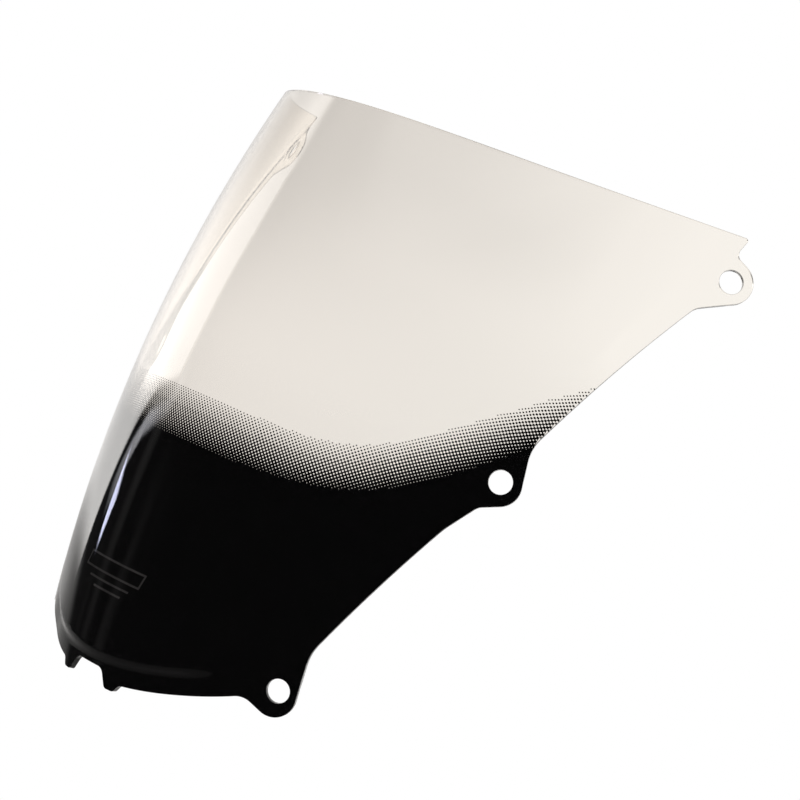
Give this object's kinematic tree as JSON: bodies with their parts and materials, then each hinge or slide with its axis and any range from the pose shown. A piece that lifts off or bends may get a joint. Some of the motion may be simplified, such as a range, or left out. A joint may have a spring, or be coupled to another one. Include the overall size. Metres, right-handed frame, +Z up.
{
  "type": "windshield screen",
  "caption": "Hot-formed clear screen for a motorcycle fairing, with scalloped screw ears along both sides and a black print that fades upwards through dots.",
  "frame": {"origin": "in the plane of symmetry at the nose, in the middle of the small notch between the two teeth, on the run of the outer face", "axes": "+X to the rider's left, -Y forwards past the nose, +Z up, with the screen as it sits on the motorcycle"},
  "size_m": [0.4136, 0.2966, 0.2974],
  "materials": {
    "clear_acrylic": "polished clear acrylic with a faint warm smoke tint",
    "black_ink": "solid black screen print, glossy as seen through the sheet",
    "halftone_ink": "round black dots that thin out upwards",
    "mark_ink": "grey print"
  },
  "bodies": {
    "root": {"screen_shell": "clear_acrylic", "black_print": "black_ink", "halftone_print": "halftone_ink", "maker_mark": "mark_ink"}
  },
  "joints": []
}
